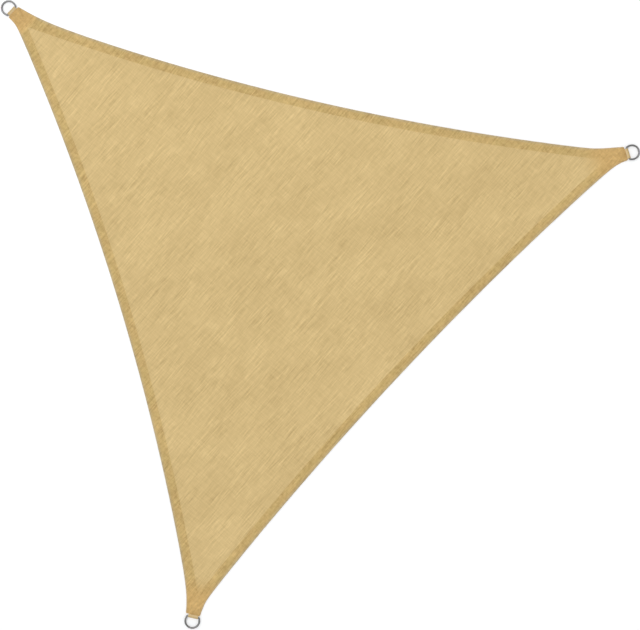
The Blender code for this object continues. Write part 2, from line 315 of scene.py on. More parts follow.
OUTER_SEAM = 0.0050  # in from the edge
INNER_SEAM = 0.0305  # in from the side's curve
SEAM_DIP = 0.00022
SEAM_DIP_WIDTH = 0.0011


def falling(profile, values):
    """Reads a profile, a list of (where, how much), at these values."""
    return np.interp(values, *zip(*profile))


def in_from_sides(points):
    return np.array([side.measure(points)[0] for side in SIDES])


def hem_layers(points):
    """How much of each side's turned layer lies at each point. A corner's leaving side is turned last."""
    insets = in_from_sides(points)
    crisp = falling(HEM_EDGE, insets)
    covers = np.roll(crisp, -1, 0)  # the side that leaves where this one arrives
    return crisp * (1 - covers) + falling(COVERED_EDGE, insets) * covers


def lump(points):
    """1 over the strap's tails and 0 away from them."""
    places = [corner.place(points) for corner in CORNERS.values()]
    return sum(falling(LUMP_SIDE, abs(across)) * falling(LUMP_END, depth) for depth, across in places)


def seam_dips(points, in_from_edge):
    """How far the seams press the cloth down."""
    seams = [in_from_edge - OUTER_SEAM, *(in_from_sides(points) - INNER_SEAM)]
    return SEAM_DIP * sum(np.exp(-((away / SEAM_DIP_WIDTH) ** 2)) for away in seams)


def thickness(points):
    hems = hem_layers(points)
    hem = HEM_LAYER * sum(hems) + CROSSED * sum(hems * np.roll(hems, -1, 0))
    over_tail = OVER_TAIL + PRESSED * hem
    return CLOTH + hem + np.maximum(over_tail - CLOTH - hem, 0) * lump(points)


print("thickness at the tips:", thickness(np.array([c.point(0.04, 0) for c in CORNERS.values()])).round(4))

# %% How the cloth lies on the ground
KNIT_ANGLE = math.radians(2.5)  # the rows of knitting, from +X
REST = 0.00047  # the underside's threads keep the cloth this far off the ground
LYING_FLAT = 0.06, 0.16  # how deep in a tip the cloth begins to wave
WAVES = 0.00055
WAVE_SIZE = 0.13, 0.06  # along and across the rows
CORNER_LINES = 0.00060
LINES_BEGIN, LINES_END = (0.08, 0.20), (0.45, 1.1)  # how deep in the corner
LINES_FAN, LINES_REACH = 9, 0.7  # how closely they fan out, and how far one runs
PUCKERS = 0.00050
PUCKER_SIZE, PUCKER_BAND = (0.021, 0.030), 0.015  # along and across a seam
BRIDGE = 0.0345, 0.0430  # where the cloth comes down beside a turned edge, in from the side
BEYOND_TAILS = 0.060, 0.075  # how deep in a tip the turned edges begin to lift the cloth

KNIT_ALONG = np.array((math.cos(KNIT_ANGLE), math.sin(KNIT_ANGLE)))
KNIT_ACROSS = leftward(KNIT_ALONG)


def smooth_step(low, high, values):
    share = np.clip((values - low) / (high - low), 0, 1)
    return share * share * (3 - 2 * share)


def waviness(*columns):
    """Smooth noise from about -0.5 to 0.5, at places given as three columns."""
    return np.array([noise.noise(place) for place in zip(*np.broadcast_arrays(*columns))])


def deep_in_tips(points):
    return np.array([corner.place(points)[0] for corner in CORNERS.values()])


def bridging(points):
    """How high the cloth stands over the ground where it climbs onto the turned edges beneath it."""
    ramps = 1 - smooth_step(*BRIDGE, in_from_sides(points))
    clear = smooth_step(*BEYOND_TAILS, deep_in_tips(points)).min(0)
    return HEM_LAYER * sum(np.maximum(ramps - hem_layers(points), 0)) * clear


def lift(points):
    """How far the underside is off the ground."""
    flat = smooth_step(*LYING_FLAT, deep_in_tips(points)).min(0)
    rows = points @ KNIT_ALONG / WAVE_SIZE[0], points @ KNIT_ACROSS / WAVE_SIZE[1]
    waves = WAVES * (0.5 + waviness(*rows, 0.0))
    for number, corner in enumerate(CORNERS.values()):
        depth, across = corner.place(points)
        fade = smooth_step(*LINES_BEGIN, depth) * (1 - smooth_step(*LINES_END, depth))
        fan = across / np.maximum(depth, LINES_BEGIN[0]) * LINES_FAN
        waves += CORNER_LINES * fade * (0.5 + waviness(fan, depth / LINES_REACH, 7.0 + number))
    for number, side in enumerate(SIDES):
        inset, along, _ = side.measure(points)
        near = np.exp(-(((inset - INNER_SEAM) / PUCKER_BAND) ** 2))
        gather = along / PUCKER_SIZE[0], inset / PUCKER_SIZE[1]
        waves += PUCKERS * near * (0.5 + waviness(*gather, 17.0 + number))
    return REST + bridging(points) + np.maximum(waves, 0) * flat


def surfaces(points):
    """Heights of the cloth's top and underside. They meet halfway up at the folded edge."""
    in_from_edge = from_edge(points)
    fold = np.clip(in_from_edge / FOLD_RADIUS, 0, 1)
    thick = thickness(points)
    half = thick / 2 * np.sqrt(1 - (1 - fold) ** 2)
    middle = lift(points) + thick / 2
    return middle + half - seam_dips(points, in_from_edge) * fold, middle - half


print(f"seams dip {SEAM_DIP * 1000:.2f} mm, waves at most {(WAVES + CORNER_LINES + PUCKERS) * 1000:.2f} mm")

# %% [markdown]
# ## The panel
#
# The panel could be a plane with modifiers, but a crisp hem needs points exactly where it steps down. So
# we draw all the lines that matter on the flat cloth, the folded edge, the seams and the turned edges, add
# a triangular grid in the middle, and let Blender's constrained triangulation join them. Two copies of
# that plan, lifted to the two surfaces and welded along the folded edge, make one closed thin sheet.

# %% Lines on the flat cloth
LINE_STEP = 0.0050  # between points on a line
GRID = 0.0165  # and on the grid
CLEAR_OF_EDGE = 0.0022  # where lines inside the cloth stop
CLEAR_OF_HEMS = 0.058  # where the grid stops, in from the sides
FOLD_SHARES = 0.06, 0.2, 0.5, 1  # of the fold's radius: lines that round it
SEAM_SHOULDERS = -0.0014, 0, 0.0014  # lines beside and under a seam
HEM_LINES = 0.012, 0.021, 0.0375, 0.040, 0.0425, 0.048  # across a hem and its soft ramp
BEYOND_MOUTH = 0.030  # how deep in a tip the outer seam's lines begin
LUMP_SIDE_POINTS, LUMP_END_POINTS = 14, 16


class Plan:
    """Points of the cloth seen from above, and the lines that its faces keep to."""

    def __init__(self):
        self.points, self.lines = [], []

    def add(self, points, keep=None, closed=False):
        """Adds a line, or the runs of it that are kept."""
        keep = np.ones(len(points), bool) if keep is None else keep
        first = len(self.points)
        numbers = first + np.cumsum(keep) - 1
        self.points += list(points[keep])
        both = keep[:-1] & keep[1:]
        self.lines += list(zip(numbers[:-1][both], numbers[1:][both]))
        if closed:
            self.lines.append((numbers[-1], first))
        return list(range(first, len(self.points)))


def add_side_lines(plan, inset, own_ground_only=False):
    """Lines this far in from each side, up to the cloth's edge or only until they meet the next side's."""
    for side in SIDES:
        alongs = np.linspace(0, RING_SPACING, round(RING_SPACING / LINE_STEP))
        points = side.curve(alongs, inset)
        keep = from_edge(points) > CLEAR_OF_EDGE
        if own_ground_only:
            for other in SIDES:
                keep &= (other is side) | (other.measure(points)[0] > inset)
        plan.add(points, keep)


def add_tip_lines(plan):
    """Lines round the lump that each strap's tail makes."""
    for corner in CORNERS.values():
        for (half, _), (depth, _) in zip(LUMP_SIDE, LUMP_END):
            inward = np.linspace(TIP_DEPTH, depth, LUMP_SIDE_POINTS)
            over = np.linspace(half, -half, LUMP_END_POINTS)[1:-1]
            depths = np.concatenate((inward, np.full(len(over), depth), inward[::-1]))
            points = corner.point(depths, np.pad(over, LUMP_SIDE_POINTS, constant_values=(half, -half)))
            plan.add(points, from_edge(points) > CLEAR_OF_EDGE)


def middle_points():
    """A triangular grid over the single layer of cloth, clear of the hems."""
    rows = round(RING_SPACING / GRID)
    row, place = np.meshgrid(np.arange(-rows, rows), np.arange(-rows, rows))
    points = np.column_stack(((place + row % 2 / 2).ravel() * GRID, row.ravel() * GRID * math.sqrt(3) / 2))
    return points[in_from_sides(points).min(0) > CLEAR_OF_HEMS]


plan = Plan()
outline = plan.add(edge, closed=True)
for share in FOLD_SHARES:
    plan.add(edge + edge_in * FOLD_RADIUS * share, closed=True)
keep = deep_in_tips(edge).min(0) > BEYOND_MOUTH
for away in SEAM_SHOULDERS:
    plan.add(edge + edge_in * (OUTER_SEAM + away), keep)
    add_side_lines(plan, INNER_SEAM + away)
for inset, _ in HEM_EDGE:
    add_side_lines(plan, inset)
for inset in HEM_LINES:
    add_side_lines(plan, inset, own_ground_only=True)
add_tip_lines(plan)
plan.points += list(middle_points())
print(f"{len(plan.points)} points and {len(plan.lines)} lines on the flat cloth")

# %% Two surfaces, welded at the fold
INSIDE_ONLY, SAME_POINT = 1, 1e-7


def new_mesh(name, points, faces):
    mesh = bpy.data.meshes.new(name)
    mesh.from_pydata(points, [], faces)
    return mesh


def sheet_mesh(plan, outline, name):
    """Triangulates the plan, lifts it to the cloth's two surfaces and joins them along the edge."""
    flat, _, faces, *_ = delaunay_2d_cdt(
        [Vector(point) for point in plan.points], plan.lines, [outline], INSIDE_ONLY, SAME_POINT
    )
    flat, faces = np.array(flat), np.array(faces)
    high, low = surfaces(flat)
    edges = np.sort(faces[:, [0, 1, 1, 2, 2, 0]].reshape(-1, 2), axis=1)
    pairs, uses = np.unique(edges, axis=0, return_counts=True)
    at_edge = np.zeros(len(flat), bool)
    at_edge[pairs[uses == 1]] = True
    under = np.where(at_edge, np.arange(len(flat)), len(flat) + np.cumsum(~at_edge) - 1)
    points = np.concatenate((np.column_stack((flat, high)), np.column_stack((flat, low))[~at_edge]))
    return new_mesh(name, points, np.concatenate((faces, under[faces][:, ::-1])))


panel = put(sheet_mesh(plan, outline, "knitted_panel"))
print(f"panel: {len(panel.data.polygons)} triangles")

# %% [markdown]
# ## Pockets for the straps
#
# At each tip the strap's tail lies between the layers. A Boolean with three boxes opens the tips like
# sleeves. Before the modifier goes, its result becomes the panel's own mesh.

# %% Pockets
STRAP_WIDTH, STRAP = 0.038, 0.0016
GAP = 0.0003  # between the strap and what it goes round or into
TAIL_LOW = CLOTH + GAP
TAIL_HIGH = TAIL_LOW + 2 * STRAP
TAIL_END = 0.052  # depth in the tip
OUT_OF_TIP = 0.004  # how far the boxes stick out of the tips
BOX_FACES = ((0, 1, 3, 2), (4, 6, 7, 5), (0, 4, 5, 1), (2, 3, 7, 6), (0, 2, 6, 4), (1, 5, 7, 3))


def open_pockets(panel):
    points, faces = [], []
    for corner in CORNERS.values():
        faces += [[len(points) + i for i in face] for face in BOX_FACES]
        for depth in (TIP_DEPTH - OUT_OF_TIP, TAIL_END):
            for across in (-STRAP_WIDTH / 2 - GAP, STRAP_WIDTH / 2 + GAP):
                for height in (TAIL_LOW - GAP / 2, TAIL_HIGH + GAP / 2):
                    points.append((*corner.point(depth, across), height))
    cutter = put(new_mesh("pockets", points, faces))
    cut = panel.modifiers.new("pockets", "BOOLEAN")
    cut.object, cut.solver = cutter, "MANIFOLD"
    opened = panel.evaluated_get(bpy.context.evaluated_depsgraph_get())
    panel.data = bpy.data.meshes.new_from_object(opened)
    panel.modifiers.clear()
    bpy.data.objects.remove(cutter)


open_pockets(panel)
print(f"panel with its pockets: {len(panel.data.polygons)} faces")

# %% [markdown]
# ## Where each point was on the flat cloth
#
# Knitting has a direction, and a hem is the same cloth turned under, so its rows come out mirrored about
# the fold. Texture coordinates made from the finished shape would miss that. Instead we unfold the turned
# layer: its place is reflected across its side's curve. Each corner of a face keeps two places in the
# cloth as it was cut, along and across the rows: its own, and that of the layer behind it, which shows
# through. Seen from above the rows run on unbroken to the fold, with the mirrored ones behind them, and
# from below it is the other way round. Four more numbers go with each point: how many layers lie there,
# how far it is from the fold, how near to a hem's inner seam and how deep inside a tip.

# %% The cloth as cut
TIP_DARKENING = (0.076, 0.118, 1.6), (0.090, 0.175, 1.0), (0.085, 0.205, 1.1)  # fading depths, strength
MOUTH_DARKENING = 0.0290, 0.0370  # a tip's end is darkest
NO_FOLD = 0.0255, 0.0310  # there is no fold across a tip's end
SEAM_REACH = 0.006
SHARP = math.radians(40)


def points_of(mesh):
    found = np.empty(len(mesh.vertices) * 3)
    mesh.vertices.foreach_get("co", found)
    return found.reshape(-1, 3)


def store(mesh, name, domain, values):
    """Keeps numbers or vectors with a mesh, for its material to read."""
    kind, field = ("FLOAT_VECTOR", "vector") if values.ndim > 1 else ("FLOAT", "value")
    mesh.attributes.new(name, kind, domain).data.foreach_set(field, values.ravel())


def store_regions(mesh):
    """Layers, and nearness to the fold, to an inner seam and to a tip's end."""
    flat = points_of(mesh)[:, :2]
    insets, depths = in_from_sides(flat), deep_in_tips(flat)
    store(mesh, "layers", "POINT", 1 + sum(hem_layers(flat)))
    near_mouth = (1 - smooth_step(*NO_FOLD, depths)).max(0)
    store(mesh, "edge", "POINT", np.clip(from_edge(flat) + near_mouth * HEM_WIDTH, 0, HEM_WIDTH))
    store(mesh, "seam", "POINT", np.exp(-(((insets - INNER_SEAM) / SEAM_REACH) ** 2)).max(0))
    starts, ends, strengths = np.array(TIP_DARKENING).T[:, :, None]
    mouths = 1 - smooth_step(*MOUTH_DARKENING, depths)
    tip_darkening = strengths * (1 - smooth_step(starts, ends, depths))
    store(mesh, "tip", "POINT", (tip_darkening + mouths).max(0))


def store_rows(mesh):
    """Where each corner of a face was in the cloth as cut, and where the layer behind it was."""
    owner = np.repeat(np.arange(len(mesh.polygons)), [face.loop_total for face in mesh.polygons])
    at = points_of(mesh)[[loop.vertex_index for loop in mesh.loops], :2]
    centres = np.array([face.center for face in mesh.polygons])[:, :2]
    upward = np.array([face.normal.z for face in mesh.polygons])[owner, None] > 0
    turned = in_from_sides(centres) < HEM_WIDTH
    unfolded = at.copy()
    for side, mine, covered in zip(SIDES, turned, np.roll(turned, -1, 0)):
        inset, _, way_in = side.measure(at)
        shown = (mine & ~covered)[owner]
        unfolded[shown] -= 2 * (inset[:, None] * way_in)[shown]
    for name, place in (("cut", np.where(upward, at, unfolded)), ("behind", np.where(upward, unfolded, at))):
        rows = np.column_stack((place @ KNIT_ALONG, place @ KNIT_ACROSS, np.zeros(len(at))))
        store(mesh, name, "CORNER", rows)
    print(f"faces on the hems: {turned.any(0).sum()} of {len(mesh.polygons)}")


store_regions(panel.data)
store_rows(panel.data)
panel.data.shade_smooth()
panel.data.set_sharp_from_angle(angle=SHARP)

# %% [markdown]
# ## Seams
#
# A seam is a row of short stitches, each a piece of thread that rises from one needle hole and dives into
# the next. A texture would flatten them, and curves with thousands of splines are slow, so every stitch
# is a little five-sided tube, and all of a side's stitches are one mesh. Each hem has a row near the fold
# and one near its turned edge, and a lockstitch looks the same from below. Over each strap's tail goes a
# box with a cross in it, as wherever a strap must not pull out.

# %% Rows of stitches
PITCH = 0.0036  # from one stitch to the next
SEAM_START = 0.031  # how deep in a tip a hem's seams begin
STITCH_STATIONS = np.array((0.0002, 0.0009, 0.0024, 0.0031))  # along a stitch
STITCH_RISE = np.array((-0.00022, 0.00014, 0.00014, -0.00022))  # of its middle, over the cloth
STITCH_RADIUS = np.array((0.00022, 0.00030, 0.00030, 0.00022))
STITCH_SIDES = 5
SEAM_POINTS = 1200
INNER_SEAM_STOPS = 0.0040  # this near the edge


def lengths_along(line):
    return np.concatenate(([0], np.cumsum(np.linalg.norm(np.diff(line, axis=0), axis=1))))


def tube_walls(rings, sides, closed=False):
    """The faces between rings of points that follow one another along a tube."""
    walls = []
    for ring in range(rings if closed else rings - 1):
        this, after = ring * sides, (ring + 1) % rings * sides
        for i in range(sides):
            beside = (i + 1) % sides
            walls.append((this + i, this + beside, after + beside, after + i))
    return walls


def tube_ends(rings, sides):
    return [range(sides)[::-1], range((rings - 1) * sides, rings * sides)]


def stitch_places(paths):
    """Where each stitch's stations lie, seen from above, and the way it runs."""
    stations = []
    for path in paths:
        length = lengths_along(path)
        places = np.arange(0, length[-1] - PITCH, PITCH)[:, None] + STITCH_STATIONS
        stations.append(np.stack([np.interp(places, length, path[:, axis]) for axis in (0, 1)], axis=-1))
    at = np.concatenate(stations)
    return at, unit(at[:, -1] - at[:, 0])


def stitched(name, paths):
    """One mesh with stitches along these lines, on the cloth's top and on its underside."""
    at, way = stitch_places(paths)
    high, low = (height.reshape(at.shape[:2]) for height in surfaces(at.reshape(-1, 2)))
    turn = np.arange(STITCH_SIDES) * 2 * math.pi / STITCH_SIDES
    aside = leftward(way)[:, None, None] * np.cos(turn)[:, None]
    plan_points = at[:, :, None] + aside * STITCH_RADIUS[:, None, None]
    rounds = STITCH_RADIUS[:, None] * np.sin(turn)
    tubes = []
    for height, rise in ((high, STITCH_RISE), (low, -STITCH_RISE)):
        z = (height + rise)[:, :, None] + rounds
        tubes.append(np.concatenate((plan_points, z[..., None]), axis=-1))
    points = np.concatenate(tubes).reshape(-1, 3)
    rings, count = len(STITCH_STATIONS), STITCH_SIDES
    offsets = np.arange(0, len(points), rings * count)[:, None, None]
    walls = np.array(tube_walls(rings, count)) + offsets
    ends = np.array(tube_ends(rings, count)) + offsets
    mesh = new_mesh(name, points, walls.reshape(-1, 4).tolist() + ends.reshape(-1, count).tolist())
    mesh.shade_smooth()
    print(f"{name}: {len(offsets)} stitches")
    return put(mesh)


def seam_lines(side):
    """The two seams of a side's hem, seen from above."""
    first, last = (side.along_at_depth(name, SEAM_START) for name in (side.start, side.end))
    rim = side.outline(np.linspace(first, last, SEAM_POINTS))
    outer = rim + OUTER_SEAM * leftward(unit(np.gradient(rim, axis=0)))
    inner = side.curve(np.linspace(0, RING_SPACING, SEAM_POINTS), INNER_SEAM)
    return outer, inner[from_edge(inner) > INNER_SEAM_STOPS]


hem_seams = [stitched(f"hem_seams_{side.start}_{side.end}", seam_lines(side)) for side in SIDES]

# %% Boxes and crosses over the straps' tails
BOX_DEPTHS = (0.0285, 0.0490)
BOX_HALF = 0.0155
BOX_POINTS = 12  # along each of its lines


def box_lines(corner):
    near, far = BOX_DEPTHS
    box = [(near, -BOX_HALF), (far, -BOX_HALF), (far, BOX_HALF), (near, BOX_HALF), (near, -BOX_HALF)]
    for start, end in (*zip(box, box[1:]), (box[0], box[2]), (box[1], box[3])):
        yield corner.point(*np.linspace(start, end, BOX_POINTS).T)


tip_seams = [stitched(f"tip_seams_{name}", list(box_lines(corner))) for name, corner in CORNERS.items()]

# %% [markdown]
# ## Rings
#
# A D-ring is bent from round steel wire: a straight bar for the strap and a bow for the hook. The wire's
# middle is drawn as arcs and straight lines and a circle is carried along it. The strap holds the bar up,
# so the ring tips down until the crown of its bow rests on the ground.

# %% Wire bent into rings
WIRE_RADIUS = 0.00325
BOW_RADIUS = 0.0265
BAR_DEPTH = 0.0164  # from the ring's centre in to the bar
BAR_CORNER = 0.0235  # half the bar, to where it would meet the leg
BAR_BEND = 0.00425
BAR_HEIGHT = WIRE_RADIUS + GAP + STRAP  # the strap's roll rests on the ground
BOW_STEPS, BEND_STEPS, WIRE_SIDES = 97, 12, 28


def carried(name, matrix, line, first_axes, second_axis, section, marks, closed):
    """Carries a closed section along a line. Each point keeps how far along it is, and its two marks."""
    rings = line[:, None] + section[:, :1] * first_axes[:, None] + section[:, 1:] * second_axis
    count, sides = rings.shape[:2]
    faces = tube_walls(count, sides, closed)
    if not closed:
        faces += tube_ends(count, sides)
    mesh = new_mesh(name, rings.reshape(-1, 3), faces)
    mesh.shade_smooth()
    mesh.transform(matrix)
    grid = np.stack(np.broadcast_arrays(lengths_along(line)[:, None], *marks), axis=-1)
    store(mesh, "cut", "POINT", grid.reshape(-1, 3))
    return put(mesh)


def arc(centre, radius, start, end, steps):
    turn = np.linspace(start, end, steps + 1)
    return centre + radius * np.column_stack((np.cos(turn), np.sin(turn)))


def wire_line():
    """The middle of the wire, with the bar at x = 0 and the bow towards -X."""
    to_corner = math.hypot(BAR_DEPTH, BAR_CORNER)
    # a leg leaves the bow along the tangent that runs to the bar's corner
    leave = math.atan2(BAR_CORNER, BAR_DEPTH) + math.acos(BOW_RADIUS / to_corner)
    bend_side = BAR_CORNER - BAR_BEND * math.tan(leave / 2)
    return np.concatenate((
        arc((-BAR_DEPTH, 0), BOW_RADIUS, leave, 2 * math.pi - leave, BOW_STEPS),
        arc((-BAR_BEND, -bend_side), BAR_BEND, -leave, 0, BEND_STEPS),
        arc((-BAR_BEND, bend_side), BAR_BEND, 0, leave, BEND_STEPS),
    ))


def bent_ring(name, matrix):
    line = wire_line()
    level = np.zeros(len(line))
    path, out = np.column_stack((line, level)), np.column_stack((-ways_in(line), level))
    section = arc((0, 0), WIRE_RADIUS, 2 * math.pi, 0, WIRE_SIDES)[:-1]
    marks = lengths_along(section), 0.0
    return carried(name, matrix, path, out, (0, 0, 1), section, marks, closed=True)


reach = BOW_RADIUS + BAR_DEPTH  # from the bar to the crown
tilt = math.asin((BAR_HEIGHT - WIRE_RADIUS) / reach)
tipped = Matrix.Translation((BAR_DEPTH, 0, BAR_HEIGHT)) @ Matrix.Rotation(-tilt, 4, "Y")
rings = {name: bent_ring(f"steel_ring_{name}", corner.matrix() @ tipped) for name, corner in CORNERS.items()}
print(f"rings {2 * (BOW_RADIUS + WIRE_RADIUS) * 1000:.0f} mm wide, tipped {math.degrees(tilt):.1f} degrees")

# %% [markdown]
# ## Straps
#
# Each strap is one length of webbing, folded round the bar so that both ends lie on each other inside the
# tip. We carry a flat section with round selvedges and shallow lengthwise ribs along that path.

# %% Straps folded round the bars
RIBS = 12
RIB_DEPTH = 0.00018
RIB_POINTS = 6  # points to each rib
LEG_STEPS, ROLL_STEPS, SELVEDGE_STEPS = 8, 56, 6


def strap_line():
    """The strap's middle, as depth and height: in from one end, round the bar and back to the other."""
    bar, radius = (BAR_DEPTH, BAR_HEIGHT), WIRE_RADIUS + GAP + STRAP / 2
    legs, angles = [], []
    for height, sign in ((TAIL_HIGH - STRAP / 2, 1), (TAIL_LOW + STRAP / 2, -1)):
        mouth = np.array((TIP_DEPTH, height))
        depth, rise = mouth - bar
        angles.append(math.atan2(rise, depth) + sign * math.acos(radius / math.hypot(depth, rise)))
        legs.append(np.linspace((TAIL_END - GAP, height), mouth, LEG_STEPS))
    roll = arc(bar, radius, angles[0], angles[1] + 2 * math.pi, ROLL_STEPS)
    upper = np.linspace(legs[0][-1], roll[0], LEG_STEPS)[1:-1]
    lower = np.linspace(roll[-1], legs[1][-1], LEG_STEPS)[1:-1]
    return np.concatenate((legs[0], upper, roll, lower, legs[1][::-1]))


def strap_section():
    """Half the strap's width across and its thickness up, with round selvedges and ribbed faces."""
    round_edge = STRAP / 2 - RIB_DEPTH
    across = np.linspace(-1, 1, RIBS * RIB_POINTS + 1) * (STRAP_WIDTH / 2 - round_edge)
    ribs = RIB_DEPTH * abs(np.sin(np.linspace(0, RIBS * math.pi, len(across))))
    top = np.column_stack((across, round_edge + ribs))
    selvedge = arc((across[-1], 0), round_edge, math.pi / 2, -math.pi / 2, SELVEDGE_STEPS)[1:-1]
    half = np.concatenate((top, selvedge))
    return np.concatenate((half, -half))[::-1]


def folded_strap(name, matrix):
    line = strap_line()
    tangent = unit(np.gradient(line, axis=0))
    out = np.column_stack((-tangent[:, 1], np.zeros(len(line)), tangent[:, 0]))
    path = np.column_stack((line[:, 0], np.zeros(len(line)), line[:, 1]))
    section = strap_section()[:, ::-1]
    height, across = section.T
    marks = across, (abs(height) - STRAP / 2) / RIB_DEPTH + 1  # 0 in a groove or at a selvedge, 1 on a rib
    return carried(name, matrix, path, out, (0, 1, 0), section, marks, closed=False)


straps = {name: folded_strap(f"strap_{name}", corner.matrix()) for name, corner in CORNERS.items()}
for strap in straps.values():
    strap.data.set_sharp_from_angle(angle=SHARP)
print(f"strap: {STRAP_WIDTH * 1000:.0f} mm wide, {len(straps['apex'].data.polygons)} faces each")

# %% [markdown]
# ## Finishes as arithmetic
#
# Blender's materials are graphs of nodes, and wiring them by hand hides what they say. Here one small class
# stands for a node's output, and +, -, * and / on it add the nodes: Math for numbers, and Vector Math for
# colours and vectors, because a Math node would turn a colour grey. Every other node comes from its `node`
# method.

# %% Expressions on shader sockets


def plug(inputs, values):
    """Gives sockets their values, or links them."""
    for where, value in values.items():
        if isinstance(value, Signal):
            value.tree.links.new(value.socket, inputs[where])
        else:
            inputs[where].default_value = value


class Signal:
    """The output of a shader node, for use in expressions."""

    def __init__(self, tree, socket=None):
        self.tree, self.socket = tree, socket

    def node(self, kind, settings, sockets, output=0):
        made = self.tree.nodes.new(kind)
        for name, value in settings.items():
            setattr(made, name, value)
        plug(made.inputs, sockets)
        return Signal(self.tree, made.outputs[output])

    def maths(self, operation, *values):
        kinds = {value.socket.type if isinstance(value, Signal) else type(value) for value in values}
        kind = "ShaderNodeMath"
        if kinds & {"VECTOR", "RGBA", tuple}:
            kind = "ShaderNodeVectorMath"
            values = [(value,) * 3 if isinstance(value, (int, float)) else value for value in values]
        return self.node(kind, {"operation": operation}, dict(enumerate(values)))

    def __add__(self, other):
        return self.maths("ADD", self, other)

    def __sub__(self, other):
        return self.maths("SUBTRACT", self, other)

    def __rsub__(self, other):
        return self.maths("SUBTRACT", other, self)

    def __mul__(self, other):
        return self.maths("MULTIPLY", self, other)

    def __truediv__(self, other):
        return self.maths("DIVIDE", self, other)

    def __rtruediv__(self, other):
        return self.maths("DIVIDE", other, self)

    def __abs__(self):
        return self.maths("ABSOLUTE", self)

    __radd__, __rmul__ = __add__, __mul__

    def floor(self):
        return self.maths("FLOOR", self)

    def zigzag(self):
        """Goes from 1 at each whole number to 0 halfway to the next."""
        return abs(self.maths("FRACT", self) * 2 - 1)

    def part(self, axis):
        return self.node("ShaderNodeSeparateXYZ", {}, {0: self}, axis)

    def ramp(self, low, high, from_low=0.0, from_high=1.0):
        """Goes smoothly from one value to another while this signal goes from `from_low` to `from_high`."""
        values = {0: self, 1: from_low, 2: from_high, 3: low, 4: high}
        return self.node("ShaderNodeMapRange", {"interpolation_type": "SMOOTHSTEP"}, values)

    def stored(self, name, output="Fac"):
        """What was kept with the mesh under this name."""
        return self.node("ShaderNodeAttribute", {"attribute_name": name}, {}, output)

    def grain(self, x, y, z=1, detail=2.0):
        """Noise from 0 to 1 on this place, its grain this large along each axis."""
        values = {"Vector": self * (1 / x, 1 / y, 1 / z), "Scale": 1.0, "Detail": detail}
        return self.node("ShaderNodeTexNoise", {}, values)

    def mix(self, first, second):
        """One colour where this signal is 0, the other where it is 1."""
        return self.node("ShaderNodeMix", {"data_type": "RGBA"}, {0: self, 6: first, 7: second}, 2)

    def bump(self, height):
        return self.node("ShaderNodeBump", {}, {"Height": self, "Distance": height})


# %% Materials


def new_finish(name):
    """A material, and a signal to begin its expressions with."""
    material = bpy.data.materials.new(name)
    material.use_nodes = True
    return material, Signal(material.node_tree)


def surface(material, sockets, pieces):
    """Sets the material's shader and gives it to these pieces."""
    plug(material.node_tree.nodes["Principled BSDF"].inputs, sockets)
    for piece in pieces:
        piece.data.materials.clear()  # a Boolean leaves an empty slot
        piece.data.materials.append(material)
    print(f"{material.name}: {len(material.node_tree.nodes)} nodes, on {len(pieces)} pieces")


# %% [markdown]
# ## Knitted cloth
#
# The cloth is knitted from flat plastic tape: chains of loops run along it, and tapes zigzag between them.
# From far off only streaks along the rows show, because no two tapes take the light alike, and fainter
# ones across. Two layers let less light through, so a hem is darker and browner than the sail, and the
# tips are darker still. A hem is blotchy too, because its two open layers never match. We could paint the
# regions by hand, but the stored layer count already knows them.

# %% The knit
WALE = 0.0027  # from one chain to the next
COURSE = 0.0023  # from one loop to the next
WAVER = (0.045, 0.012)  # size of its wavering, along and across the rows
KNIT_RELIEF = 0.00040
cloth, begin = new_finish("knitted_cloth")
place, behind = (begin.stored(name, "Vector") for name in ("cut", "behind"))
layers, from_fold, seam, tip = (begin.stored(name) for name in ("layers", "edge", "seam", "tip"))

waver = place.grain(*WAVER) * 1.2
chain = 1 - (place.part("Y") / WALE + waver).zigzag()
tape = 1 - (place.part("X") / COURSE + chain * 0.9 + waver).zigzag()
relief = chain * chain * 0.6 + tape * 0.4
# the gaps between chains and tapes are small recesses; the base colour paints shade into them
gaps = (1 - chain) * (1 - tape)
print(f"chains {WALE * 1000:.1f} mm apart, loops {COURSE * 1000:.1f} mm")

# %% Streaks, hems and tips
PALE_SAND = (0.730, 0.544, 0.258, 1)
DEEP_SAND = (0.451, 0.316, 0.128, 1)
WHITE = (1, 1, 1, 1)
HEM_TINTS = (0.850, 0.822, 0.695, 1), (0.866, 0.816, 0.699, 1)
TIP_TINT = (0.930, 0.828, 0.685, 1)
MOUTH_TINT = (0.915, 0.895, 0.880, 1)
FOLD_TINT = (0.90, 0.985, 1.34, 1)  # real dust, with painted shade and painted sky light, at the folded edge
SHOWS_THROUGH = 0.2  # of the streaks in the layer behind

# how large each kind of mark is, along and across the rows
STREAK, BROAD_STREAK, CROSS_STREAK = (0.056, 0.0050), (0.140, 0.0130), (0.0055, 0.060)
UNEVEN, CLOUD, HEM_PATCH = (0.110, 0.070), (0.30, 0.16), (0.060, 0.045)
GATHER, BLOTCH = (0.013, 0.020), (0.016, 0.010)


def tapes(place):
    """Light and dark streaks along the rows."""
    return place.grain(*STREAK) + place.grain(*BROAD_STREAK) * 0.5 - 0.75


